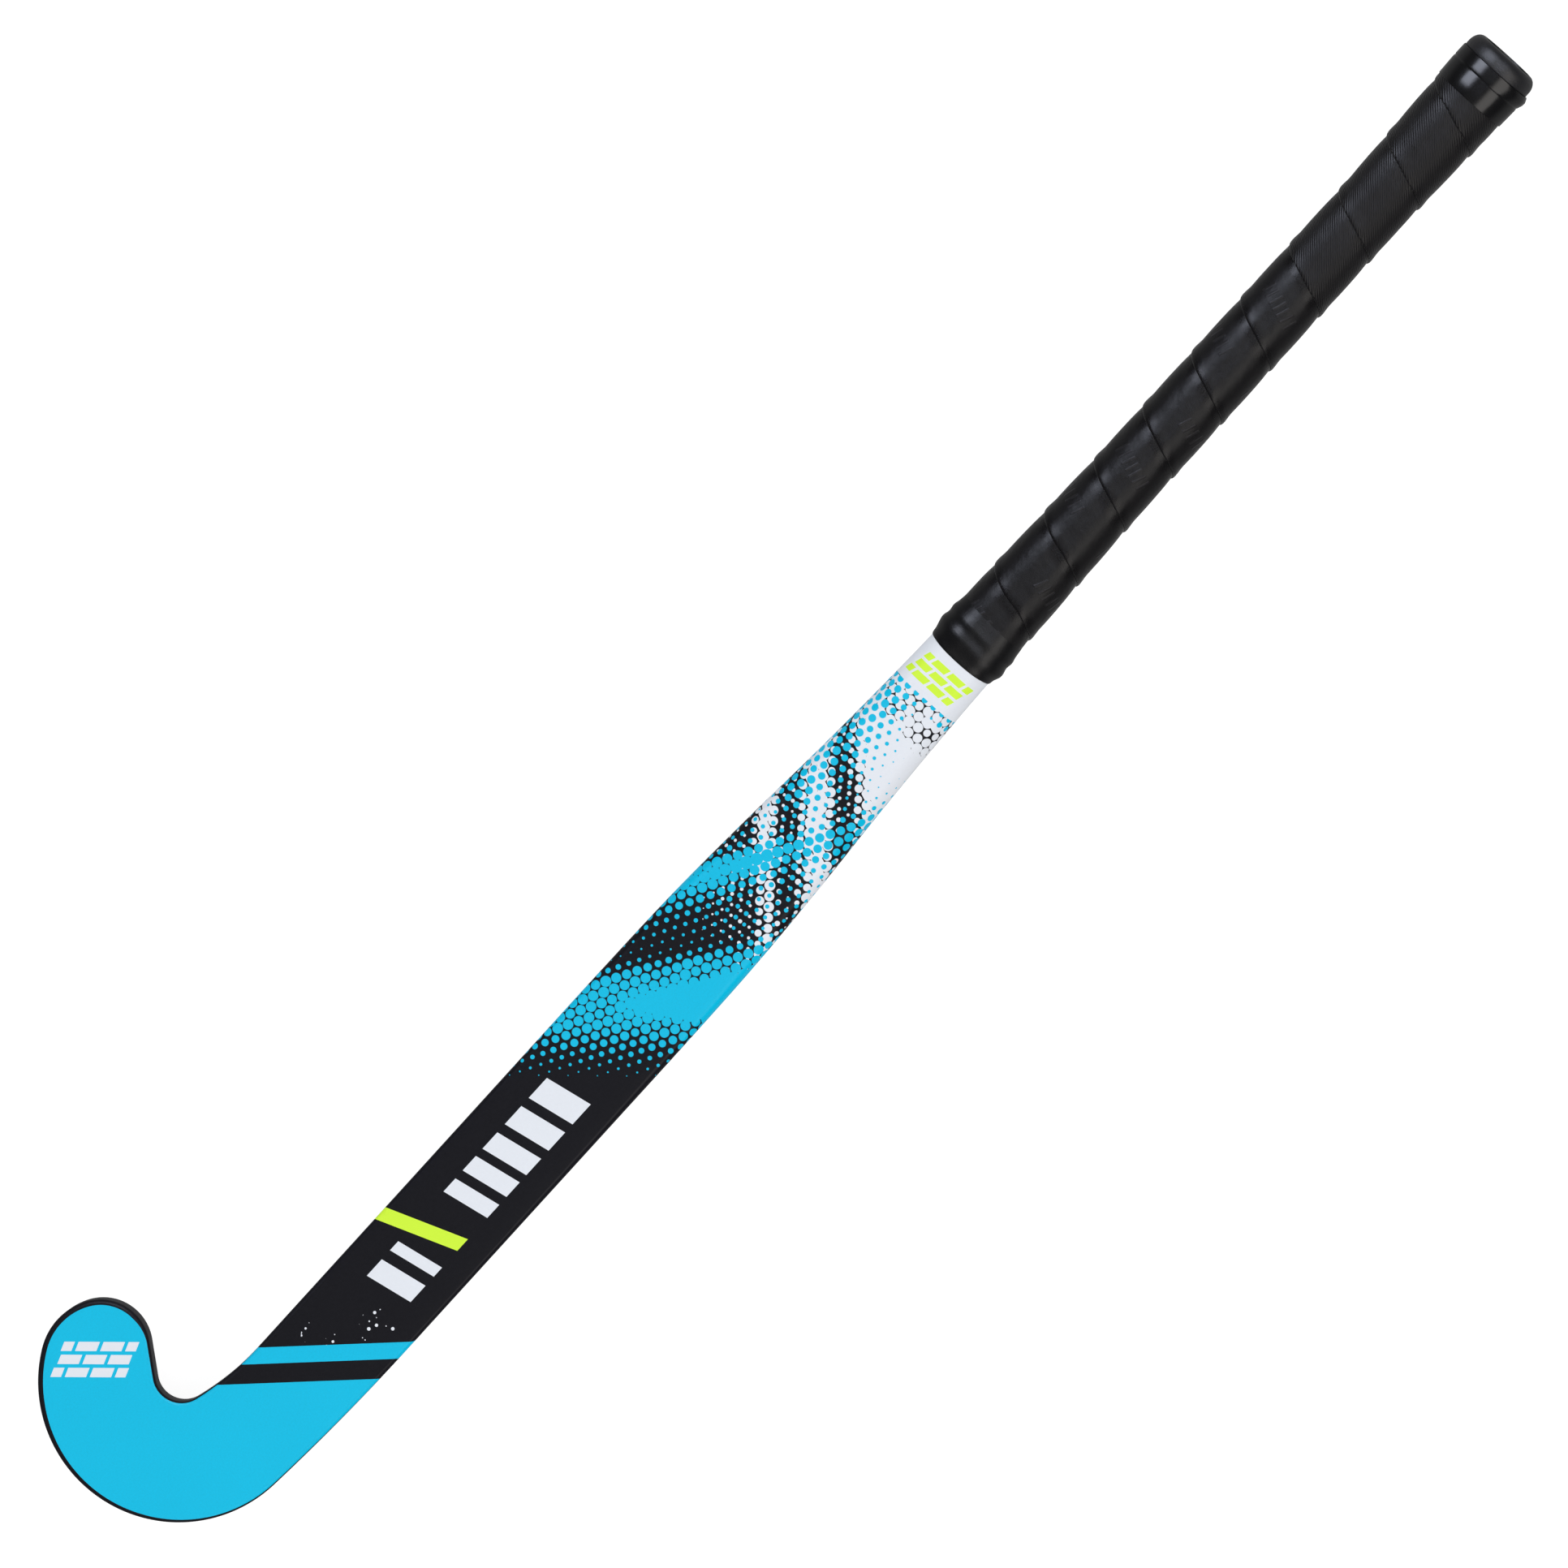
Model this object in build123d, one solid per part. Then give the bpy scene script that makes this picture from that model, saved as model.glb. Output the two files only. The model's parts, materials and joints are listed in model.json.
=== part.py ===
from build123d import *
from functools import lru_cache
import math
import os

# A field hockey stick, 32 inch class, lying on its back with the playing face up.
# It is modelled along +X: stations grow from the bottom of the hook towards the butt, +Y is
# the toe side and +Z is the playing-face side.  The playing face of the head is the plane
# Z = 0.  At the end the whole stick is laid down on its bow and its origin is put under the
# middle of its box.  Every length is in millimetres.

# overall, with the length taken along the bow
LENGTH = 813.0
HOOK_BOTTOM = 0.65
BLADE_WIDTH = 45.4
HEAD_THICKNESS = 21.0

# layers, as offsets from the finished surface of the shaft
FILM_THICKNESS = 0.15
GLASS_THICKNESS = 0.8
GRIP_THICKNESS = 1.3
GLASS_SKIN = -FILM_THICKNESS
CORE_SKIN = -FILM_THICKNESS - GLASS_THICKNESS

# edge rounding of the head
FACE_EDGE_RADIUS = 1.8
BACK_EDGE_RADIUS = 8.5

# the hook's outline, followed from the heel round the toe and back to the shaft
HEEL_ARC = (1000.0, 4.4)
HOOK_ARC = (57.0, 147.4)
TOE_OUTER_ARC = (26.7, 57.6)
TOE_TIP_ARC = (20.2, 99.2)
CROOK_ARC = (11.0, 112.0)
THROAT_RADIUS = 114.0

# the bow, a gentle bend towards the playing face between two straight runs
BOW_ANGLE = 6.0
BOW_START = 130.0
BOW_END = 424.0
REST_TILT = 4.3

# shaft sections, evenly spaced from the head to the straight handle:
# width, thickness, face-side and back-side edge radius
SHAFT_START = 130.0
SECTION_SPACING = 42.0
SHAFT_SECTIONS = (
    (45.4, 21.0, 1.8, 8.5),
    (45.4, 21.0, 1.9, 8.5),
    (45.4, 21.1, 2.1, 8.5),
    (45.4, 21.2, 2.4, 8.6),
    (45.3, 21.4, 3.1, 8.8),
    (44.3, 21.6, 4.2, 9.0),
    (40.5, 21.8, 5.8, 9.5),
    (35.3, 22.2, 7.5, 10.0),
    (31.5, 22.5, 8.8, 10.4),
    (29.2, 22.8, 9.7, 10.7),
    (27.3, 23.1, 10.3, 10.9),
    (25.8, 23.2, 10.5, 11.0),
)
HANDLE_START = SHAFT_START + SECTION_SPACING * (len(SHAFT_SECTIONS) - 1)

# the grip, its two finishing tapes and the rubber end cap
GRIP_START = 490.5
PRINT_END = 505.0
LOWER_TAPE_START = 488.2
LOWER_TAPE_END = 509.5
LOWER_TAPE_LAYER = 0.3
LOWER_RIDGES = ((495.0, 497.8), (501.0, 503.8))
LOWER_RIDGE_HEIGHT = 0.3
CAP_SKIRT = ((735.0, 0.0), (760.0, 0.7), (785.0, 1.5), (806.5, 1.8))
CAP_FLANGE_OFFSET = 3.0
CAP_FLANGE_START = 806.5
BUTT_STATION = HOOK_BOTTOM + LENGTH
CAP_EDGE_RADIUS = 3.0
CAP_RIM_WIDTH = 4.6
CAP_RECESS = 0.7
UPPER_TAPE_START = 791.0
UPPER_TAPE_LAYER = 0.35
UPPER_TAPE_GROOVE = (800.3, 800.9)
UPPER_TAPE_GROOVE_FLOOR = 0.18

# the laminated core
PLY_COUNT = 7
PLY_FILLER_RADIUS = 5.0
PLY_OUTER_RADIUS = 75.0
# where the two outermost plies run out against the narrowing handle
OUTER_PLY_END = 418.0

# larger than the stick in every direction
BEYOND = 1000.0

# distance below which two places count as the same
TOUCHING = 0.001


def heading(degrees):
    """Unit vector for a compass angle in the outline plane, measured from +X to +Y."""
    return Vector(math.cos(math.radians(degrees)), math.sin(math.radians(degrees)))


def turn(start, angle, radius, sweep):
    """Arc that leaves start along angle, turning left for a positive sweep."""
    side = 90 if sweep > 0 else -90
    centre = start + heading(angle + side) * radius
    middle = centre + heading(angle - side + sweep / 2) * radius
    end = centre + heading(angle - side + sweep) * radius
    return ThreePointArc(start, middle, end), end, angle + sweep


def hook_edges(inset, flank):
    """Edges from the heel to the throat for an outline moved inwards by inset."""
    here = Vector(SHAFT_START, -BLADE_WIDTH / 2 + inset)
    angle = 180.0
    edges = []
    for radius, sweep in (HEEL_ARC, HOOK_ARC, TOE_OUTER_ARC, TOE_TIP_ARC):
        edge, here, angle = turn(here, angle, radius - inset, -sweep)
        edges.append(edge)
    if flank > 0:
        ahead = here + heading(angle) * flank
        edges.append(Line(here, ahead))
        here = ahead
    edge, here, angle = turn(here, angle, CROOK_ARC[0] + inset, CROOK_ARC[1])
    edges.append(edge)
    edge, here, angle = turn(here, angle, THROAT_RADIUS + inset, -angle)
    edges.append(edge)
    return edges, here


def flank_length():
    """Length of the toe's straight inner flank that brings the outline onto the shaft."""
    toe_angle = 180.0 - HEEL_ARC[1] - HOOK_ARC[1] - TOE_OUTER_ARC[1] - TOE_TIP_ARC[1]
    throat_end = hook_edges(0.0, 0.0)[1]
    return (BLADE_WIDTH / 2 - throat_end.Y) / math.sin(math.radians(toe_angle))


FLANK = flank_length()


def head_outline(inset):
    edges, throat_end = hook_edges(inset, FLANK)
    corner = Vector(SHAFT_START, BLADE_WIDTH / 2 - inset)
    start = Vector(SHAFT_START, -BLADE_WIDTH / 2 + inset)
    edges.append(Line(throat_end, corner))
    edges.append(Line(corner, start))
    return Face(Wire(edges))


def rim_at(block, height):
    """Edges of the head's block at one height, without the one where the shaft joins it."""
    level = [edge for edge in block.edges() if lies_at(edge, height)]
    return [edge for edge in level if edge.center().X < SHAFT_START - TOUCHING]


def lies_at(edge, height):
    box = edge.bounding_box()
    return abs(box.min.Z - height) < TOUCHING and abs(box.max.Z - height) < TOUCHING


def head_solid(inset):
    """The head's block with its face-side and back-side edges rounded."""
    face, back = -inset, inset - HEAD_THICKNESS
    block = extrude(head_outline(inset), amount=face - back, dir=(0, 0, -1))
    block = Pos(0, 0, face) * block
    block = fillet(rim_at(block, back), BACK_EDGE_RADIUS - inset)
    return fillet(rim_at(block, face), FACE_EDGE_RADIUS - inset)


def spine_plane(station):
    """Plane across the stick: its X is the toe side, its Y is the face side."""
    radius = (BOW_END - BOW_START) / math.radians(BOW_ANGLE)
    bend = min(max(station - BOW_START, 0.0), BOW_END - BOW_START) / radius
    before = min(station, BOW_START)
    after = max(station - BOW_END, 0.0)
    x = before + radius * math.sin(bend) + after * math.cos(bend)
    z = radius * (1 - math.cos(bend)) + after * math.sin(bend)
    return Plane(origin=(x, 0, z), x_dir=(0, 1, 0), z_dir=(math.cos(bend), 0, math.sin(bend)))


HANDLE_DIRECTION = spine_plane(HANDLE_START).z_dir


def section(station, size, offset):
    """Rounded rectangle across the stick, grown outwards by offset."""
    width, thickness, face_radius, back_radius = size
    half = width / 2 + offset
    top = offset
    bottom = -thickness - offset
    face_r = face_radius + offset
    back_r = back_radius + offset
    corners = (
        (half - face_r, top - face_r, face_r, 0.0),
        (-half + face_r, top - face_r, face_r, 90.0),
        (-half + back_r, bottom + back_r, back_r, 180.0),
        (half - back_r, bottom + back_r, back_r, 270.0),
    )
    arcs = [CenterArc((x, y), radius, angle, 90.0) for x, y, radius, angle in corners]
    edges = []
    for arc, following in zip(arcs, arcs[1:] + arcs[:1]):
        edges += [arc, Line(arc @ 1, following @ 0)]
    return spine_plane(station).location * Face(Wire(edges))


def handle_section(station, offset):
    return section(station, SHAFT_SECTIONS[-1], offset)


@lru_cache(maxsize=None)
def shaft_solid(offset):
    """The shaft and handle, from the head to the cap's flange, at one layer's offset."""
    stations = [SHAFT_START + SECTION_SPACING * i for i in range(len(SHAFT_SECTIONS))]
    sections = [section(place, size, offset) for place, size in zip(stations, SHAFT_SECTIONS)]
    handle = extrude(sections[-1], amount=CAP_FLANGE_START - HANDLE_START, dir=HANDLE_DIRECTION)
    return loft(sections) + handle


@lru_cache(maxsize=None)
def flared_solid(extra):
    """The handle's end as flared by the cap's skirt, grown outwards by extra."""
    return loft([handle_section(station, flare + extra) for station, flare in CAP_SKIRT])


def slab(start, end):
    """Block that holds the stations from start to end."""
    base = spine_plane(start) * Rectangle(BEYOND, BEYOND)
    return extrude(base, amount=end - start)


def sleeve(inner, outer, start, end):
    """Layer between two offsets of the straight handle, over a range of stations."""
    return (shaft_solid(outer) - shaft_solid(inner)) & slab(start, end)


def flared_sleeve(inner, outer, start, end):
    return (flared_solid(outer) - flared_solid(inner)) & slab(start, end)


def core_solid():
    """The whole wooden core, before it is divided into its plies."""
    return head_solid(-CORE_SKIN) + shaft_solid(CORE_SKIN)


def crook_centre():
    """Centre of the crook, which every ply is bent around."""
    edges, _ = hook_edges(0.0, FLANK)
    return edges[-2].arc_center


def ply_boundary(radius):
    """Edge of a bent ply: along the shaft, round the crook and up the toe."""
    centre = crook_centre()
    shaft_side = centre.Y - radius
    toe_side = centre.Y + radius
    butt = Vector(BEYOND, shaft_side)
    bend_start = Vector(centre.X, shaft_side)
    bend_middle = Vector(centre.X - radius, centre.Y)
    bend_end = Vector(centre.X, toe_side)
    toe = Vector(SHAFT_START, toe_side)
    return butt, bend_start, bend_middle, bend_end, toe


def ply_band(inner_radius, outer_radius):
    """Full-height band between two bent ply boundaries."""
    inner = ply_boundary(inner_radius)
    outer = ply_boundary(outer_radius)
    edges = [Line(outer[0], outer[1]), ThreePointArc(outer[1], outer[2], outer[3])]
    edges += [Line(outer[3], outer[4]), Line(outer[4], inner[4]), Line(inner[4], inner[3])]
    edges += [ThreePointArc(inner[3], inner[2], inner[1]), Line(inner[1], inner[0])]
    edges += [Line(inner[0], outer[0])]
    return extrude(Face(Wire(edges)), amount=BEYOND / 2, both=True)


def core_plies():
    """Mulberry plies of equal width across the shaft, bent round the crook."""
    core_width = BLADE_WIDTH + 2 * CORE_SKIN
    innermost = crook_centre().Y - core_width / 2
    radii = [innermost + core_width * i / PLY_COUNT for i in range(PLY_COUNT + 1)]
    radii[0] = PLY_FILLER_RADIUS
    radii[-1] = PLY_OUTER_RADIUS
    core = core_solid()
    plies = [core & ply_band(*band) for band in zip(radii, radii[1:])]
    handle_side = slab(OUTER_PLY_END, OUTER_PLY_END + BEYOND)
    plies[0] -= handle_side
    plies[-1] -= handle_side
    return {f"core_ply_{i + 1}": ply for i, ply in enumerate(plies)}


def head_glass_wrap():
    return head_solid(-GLASS_SKIN) - head_solid(-CORE_SKIN)


def shaft_glass_sleeve():
    return shaft_solid(GLASS_SKIN) - shaft_solid(CORE_SKIN)


def head_face_decal():
    """Printed film on the flat of the head, set in from the rounded edges."""
    return extrude(head_outline(FACE_EDGE_RADIUS), amount=FILM_THICKNESS, dir=(0, 0, -1))


def shaft_print_wrap():
    """Printed film all round the shaft, its end tucked under the grip."""
    film = shaft_solid(0.0) - shaft_solid(GLASS_SKIN)
    return film - slab(PRINT_END, PRINT_END + BEYOND)


def grip_adhesive():
    """Double-sided strip that holds the grip on the bare handle."""
    return sleeve(GLASS_SKIN, 0.0, PRINT_END, CAP_SKIRT[0][0])


def grip_tape():
    straight = sleeve(0.0, GRIP_THICKNESS, GRIP_START, CAP_SKIRT[0][0])
    flared = flared_sleeve(0.0, GRIP_THICKNESS, CAP_SKIRT[0][0], CAP_FLANGE_START)
    return straight + flared


def lower_finishing_tape():
    """Ridged tape that closes the lower end of the grip and laps onto the shaft."""
    top = GRIP_THICKNESS + LOWER_TAPE_LAYER
    tape = sleeve(GRIP_THICKNESS, top, GRIP_START, LOWER_TAPE_END)
    tape += sleeve(0.0, top, LOWER_TAPE_START, GRIP_START)
    for start, end in LOWER_RIDGES:
        tape += sleeve(GRIP_THICKNESS, top + LOWER_RIDGE_HEIGHT, start, end)
    return tape


def upper_finishing_tape():
    """Glossy tape in two turns, with the fine groove where they meet."""
    top = GRIP_THICKNESS + UPPER_TAPE_LAYER
    tape = flared_sleeve(GRIP_THICKNESS, top, UPPER_TAPE_START, CAP_FLANGE_START)
    groove_floor = GRIP_THICKNESS + UPPER_TAPE_GROOVE_FLOOR
    return tape - flared_sleeve(groove_floor, top, *UPPER_TAPE_GROOVE)


def end_cap():
    """Rubber cap: a thick end with a recessed face, and a skirt that flares the handle."""
    length = BUTT_STATION - CAP_FLANGE_START
    flange_section = handle_section(CAP_FLANGE_START, CAP_FLANGE_OFFSET)
    flange = extrude(flange_section, amount=length, dir=HANDLE_DIRECTION)
    end_edges = flange.edges().group_by(Axis((0, 0, 0), HANDLE_DIRECTION))[-1]
    flange = fillet(end_edges, CAP_EDGE_RADIUS)
    floor = handle_section(BUTT_STATION - CAP_RECESS, CAP_FLANGE_OFFSET - CAP_RIM_WIDTH)
    flange -= extrude(floor, amount=2 * CAP_RECESS, dir=HANDLE_DIRECTION)
    skirt = flared_solid(0.0) - shaft_solid(GLASS_SKIN)
    return flange + skirt


def lay_down(nodes):
    """Tilt the stick onto its bow and put the origin under the middle of its box."""
    tilted = {name: Rot(0, REST_TILT, 0) * shape for name, shape in nodes.items()}
    boxes = [shape.bounding_box() for shape in tilted.values()]
    low_x, high_x = min(box.min.X for box in boxes), max(box.max.X for box in boxes)
    low_y, high_y = min(box.min.Y for box in boxes), max(box.max.Y for box in boxes)
    low_z = min(box.min.Z for box in boxes)
    move = Pos(-(low_x + high_x) / 2, -(low_y + high_y) / 2, -low_z)
    return {name: move * shape for name, shape in tilted.items()}


def build():
    nodes = core_plies()
    for make in (
        head_glass_wrap,
        shaft_glass_sleeve,
        head_face_decal,
        shaft_print_wrap,
        grip_adhesive,
        grip_tape,
        lower_finishing_tape,
        upper_finishing_tape,
        end_cap,
    ):
        nodes[make.__name__] = make()
    return lay_down(nodes)


os.makedirs("parts", exist_ok=True)
for name, shape in build().items():
    export_step(shape, f"parts/{name}.step")
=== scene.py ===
import json
import math

import bpy
from mathutils import Matrix, Vector

# A field hockey stick, lying on its back with the playing face up.
# Shapes are worked out along the stick, in millimetres, as in the CAD part: station runs
# from the bottom of the hook to the butt, Y is the toe side and Z the playing-face side.
# to_row() then puts them in the row's frame, in metres.
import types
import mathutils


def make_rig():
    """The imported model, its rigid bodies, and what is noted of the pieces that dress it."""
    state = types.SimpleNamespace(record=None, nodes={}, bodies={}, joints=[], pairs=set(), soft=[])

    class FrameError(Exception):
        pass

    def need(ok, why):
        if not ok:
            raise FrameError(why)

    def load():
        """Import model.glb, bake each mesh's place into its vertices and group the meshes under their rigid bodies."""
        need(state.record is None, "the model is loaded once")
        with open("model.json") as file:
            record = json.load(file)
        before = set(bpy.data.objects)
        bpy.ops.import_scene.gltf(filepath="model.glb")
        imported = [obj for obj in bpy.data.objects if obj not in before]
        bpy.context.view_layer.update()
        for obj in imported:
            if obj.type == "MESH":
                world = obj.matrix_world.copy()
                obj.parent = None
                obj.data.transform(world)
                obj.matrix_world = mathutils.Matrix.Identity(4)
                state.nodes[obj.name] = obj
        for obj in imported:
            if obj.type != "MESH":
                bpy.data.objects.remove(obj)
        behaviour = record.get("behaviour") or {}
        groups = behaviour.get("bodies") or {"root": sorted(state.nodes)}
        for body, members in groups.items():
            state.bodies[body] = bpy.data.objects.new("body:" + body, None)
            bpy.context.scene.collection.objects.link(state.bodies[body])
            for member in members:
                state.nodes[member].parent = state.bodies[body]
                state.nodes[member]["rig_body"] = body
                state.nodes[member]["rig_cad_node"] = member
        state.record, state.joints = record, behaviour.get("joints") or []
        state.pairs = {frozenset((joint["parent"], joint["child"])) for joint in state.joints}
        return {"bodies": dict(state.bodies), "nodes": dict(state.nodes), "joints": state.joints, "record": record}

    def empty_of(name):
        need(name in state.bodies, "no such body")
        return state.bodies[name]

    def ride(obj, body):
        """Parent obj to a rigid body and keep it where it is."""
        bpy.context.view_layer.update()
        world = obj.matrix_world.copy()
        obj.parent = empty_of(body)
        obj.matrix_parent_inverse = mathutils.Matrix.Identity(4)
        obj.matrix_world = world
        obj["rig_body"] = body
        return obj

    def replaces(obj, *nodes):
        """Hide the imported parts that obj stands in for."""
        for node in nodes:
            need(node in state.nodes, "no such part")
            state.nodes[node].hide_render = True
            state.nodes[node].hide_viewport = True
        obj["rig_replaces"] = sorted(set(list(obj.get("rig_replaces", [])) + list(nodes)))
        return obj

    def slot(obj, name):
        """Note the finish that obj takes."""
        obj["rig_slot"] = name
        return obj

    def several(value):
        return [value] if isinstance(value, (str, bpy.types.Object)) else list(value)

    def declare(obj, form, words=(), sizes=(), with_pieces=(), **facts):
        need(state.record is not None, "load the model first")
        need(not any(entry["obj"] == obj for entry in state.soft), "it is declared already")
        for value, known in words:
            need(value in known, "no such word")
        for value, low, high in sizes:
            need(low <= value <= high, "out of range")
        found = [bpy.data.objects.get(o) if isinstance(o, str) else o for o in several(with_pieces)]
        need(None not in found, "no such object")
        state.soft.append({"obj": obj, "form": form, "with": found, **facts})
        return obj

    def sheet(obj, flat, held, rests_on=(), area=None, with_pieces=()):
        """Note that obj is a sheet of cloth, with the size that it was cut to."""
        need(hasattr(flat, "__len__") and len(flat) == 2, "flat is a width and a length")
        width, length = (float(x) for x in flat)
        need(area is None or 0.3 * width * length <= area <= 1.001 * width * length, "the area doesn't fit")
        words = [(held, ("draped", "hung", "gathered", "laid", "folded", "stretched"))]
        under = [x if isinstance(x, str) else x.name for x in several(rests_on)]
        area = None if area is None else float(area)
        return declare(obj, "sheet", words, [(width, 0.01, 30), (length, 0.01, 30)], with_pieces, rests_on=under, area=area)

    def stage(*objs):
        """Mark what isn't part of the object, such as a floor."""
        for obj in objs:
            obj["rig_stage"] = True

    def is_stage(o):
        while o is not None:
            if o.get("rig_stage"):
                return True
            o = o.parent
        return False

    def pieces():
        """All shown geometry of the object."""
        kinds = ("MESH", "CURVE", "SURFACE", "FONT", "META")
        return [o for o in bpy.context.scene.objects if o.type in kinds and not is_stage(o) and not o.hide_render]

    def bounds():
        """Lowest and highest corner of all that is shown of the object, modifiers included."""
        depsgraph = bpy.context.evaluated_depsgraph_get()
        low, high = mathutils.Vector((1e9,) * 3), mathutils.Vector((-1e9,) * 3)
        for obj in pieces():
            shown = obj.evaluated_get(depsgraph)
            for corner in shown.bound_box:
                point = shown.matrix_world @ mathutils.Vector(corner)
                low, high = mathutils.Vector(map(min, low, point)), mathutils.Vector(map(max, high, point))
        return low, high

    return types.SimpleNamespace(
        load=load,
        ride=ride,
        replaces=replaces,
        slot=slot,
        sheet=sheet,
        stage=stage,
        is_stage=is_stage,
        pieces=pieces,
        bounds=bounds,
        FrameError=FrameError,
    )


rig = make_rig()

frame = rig.load()
CAD_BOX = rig.bounds()
MOUNTS = {mount["name"]: mount for mount in frame["record"]["mounts"]}

# ---------------------------------------------------------------- the stick's own sizes
BLADE_WIDTH = 45.4
HEAD_THICKNESS = 21.0
FACE_EDGE_RADIUS = 1.8
BACK_EDGE_RADIUS = 8.5
HEEL_ARC = (1000.0, 4.4)
HOOK_ARC = (57.0, 147.4)
TOE_OUTER_ARC = (26.7, 57.6)
TOE_TIP_ARC = (20.2, 99.2)
CROOK_ARC = (11.0, 112.0)
THROAT_RADIUS = 114.0
FLANK = 15.339
BOW_ANGLE = math.radians(6.0)
BOW_START = 130.0
BOW_END = 424.0
BOW_RADIUS = (BOW_END - BOW_START) / BOW_ANGLE
SHAFT_START = 130.0
SECTION_SPACING = 42.0
SHAFT_SECTIONS = (
    (45.4, 21.0, 1.8, 8.5),
    (45.4, 21.0, 1.9, 8.5),
    (45.4, 21.1, 2.1, 8.5),
    (45.4, 21.2, 2.4, 8.6),
    (45.3, 21.4, 3.1, 8.8),
    (44.3, 21.6, 4.2, 9.0),
    (40.5, 21.8, 5.8, 9.5),
    (35.3, 22.2, 7.5, 10.0),
    (31.5, 22.5, 8.8, 10.4),
    (29.2, 22.8, 9.7, 10.7),
    (27.3, 23.1, 10.3, 10.9),
    (25.8, 23.2, 10.5, 11.0),
)
CAP_SKIRT = ((735.0, 0.0), (760.0, 0.7), (785.0, 1.5), (806.5, 1.8))
CAP_START = 806.5
BUTT = 813.65

# the playing-face mount, which ties the stick's own frame to the row's
FACE_MOUNT_AT = Vector((60.0, 25.0, 0.0))


def to_row():
    """Matrix from the stick's own frame, in millimetres, to the row's, in metres."""
    mount = MOUNTS["playing_face"]
    tilt = math.atan2(mount["axis"][0], mount["axis"][2])
    place = Matrix.Translation(mount["pos_m"]) @ Matrix.Rotation(tilt, 4, "Y")
    return place @ Matrix.Scale(0.001, 4) @ Matrix.Translation(-FACE_MOUNT_AT)


TO_ROW = to_row()


# ---------------------------------------------------------------- sections of the stick
def spine(station):
    """Point on the bow's path, and the direction out of the playing face there."""
    bend = min(max(station - BOW_START, 0.0), BOW_END - BOW_START) / BOW_RADIUS
    after = max(station - BOW_END, 0.0)
    x = min(station, BOW_START) + BOW_RADIUS * math.sin(bend) + after * math.cos(bend)
    z = BOW_RADIUS * (1 - math.cos(bend)) + after * math.sin(bend)
    return Vector((x, 0.0, z)), Vector((-math.sin(bend), 0.0, math.cos(bend)))


def between(table, place):
    """Smooth value of an evenly spaced table of tuples at a fractional place in it."""
    last = len(table) - 1
    place = min(max(place, 0.0), float(last))
    i = min(int(place), last - 1)
    f = place - i
    before, a, b, after = (table[min(max(j, 0), last)] for j in (i - 1, i, i + 1, i + 2))
    return tuple(
        q + 0.5 * f * (r - p + f * (2 * p - 5 * q + 4 * r - s + f * (3 * (q - r) + s - p)))
        for p, q, r, s in zip(before, a, b, after)
    )


def section_size(station):
    return between(SHAFT_SECTIONS, (station - SHAFT_START) / SECTION_SPACING)


ARC_STEPS = 10
FLAT_STEPS = 8


def ring(station, offset):
    """Points round the stick's section, from the middle of its back over the heel side.

    Each is (y, z, distance round the ring from the start)."""
    width, thickness, face_r, back_r = section_size(station)
    half = width / 2 + offset
    bottom = -thickness - offset
    face_r, back_r = face_r + offset, back_r + offset
    corners = (
        (-half + back_r, bottom + back_r, back_r, 270.0),
        (-half + face_r, offset - face_r, face_r, 180.0),
        (half - face_r, offset - face_r, face_r, 90.0),
        (half - back_r, bottom + back_r, back_r, 0.0),
    )
    line = [(0.0, bottom)]
    for y, z, radius, start in corners:
        first = (y + radius * cosd(start), z + radius * sind(start))
        line += spaced(line[-1], first, FLAT_STEPS)
        for i in range(ARC_STEPS + 1):
            angle = start - 90.0 * i / ARC_STEPS
            line.append((y + radius * cosd(angle), z + radius * sind(angle)))
    line += spaced(line[-1], line[0], FLAT_STEPS)
    points = []
    gone = 0.0
    for i, (y, z) in enumerate(line):
        if i:
            gone += math.dist((y, z), line[i - 1])
        points.append((y, z, gone))
    around = gone + math.dist(line[-1], line[0])
    return points, around


def cosd(degrees):
    return math.cos(math.radians(degrees))


def sind(degrees):
    return math.sin(math.radians(degrees))


def spaced(a, b, steps):
    """Points strictly between a and b."""
    return [
        (a[0] + (b[0] - a[0]) * i / steps, a[1] + (b[1] - a[1]) * i / steps)
        for i in range(1, steps)
    ]


RING_POINTS = len(ring(SHAFT_START, 0.0)[0])


def on_stick(station, y, z):
    """A point of the section at a station, in the row's frame."""
    origin, normal = spine(station)
    return TO_ROW @ (origin + Vector((0.0, y, 0.0)) + normal * z)


# ---------------------------------------------------------------- mesh making
SHARP_ABOVE = 38.0


def add_mesh(name, points, faces, maps, material, sharp=SHARP_ABOVE):
    """A mesh object from row-frame points; each map has one (u, v) for each face corner.

    Edges that turn by more than sharp degrees stay sharp, and with 0 all faces are flat."""
    mesh = bpy.data.meshes.new(name)
    mesh.from_pydata([tuple(p) for p in points], [], faces)
    for key, uvs in maps.items():
        layer = mesh.uv_layers.new(name=key)
        layer.data.foreach_set("uv", [c for face in uvs for uv in face for c in uv])
    mesh.materials.append(material)
    mesh.polygons.foreach_set("use_smooth", [sharp > 0.0] * len(faces))
    mesh.update()
    if sharp > 0.0:
        mesh.set_sharp_from_angle(angle=math.radians(sharp))
    piece = bpy.data.objects.new(name, mesh)
    bpy.context.collection.objects.link(piece)
    return piece


def place(piece, node, slot):
    """Let a piece ride on the stick, in the place of a CAD node."""
    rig.ride(piece, "root")
    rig.replaces(piece, node)
    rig.slot(piece, slot)
    return piece


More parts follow.
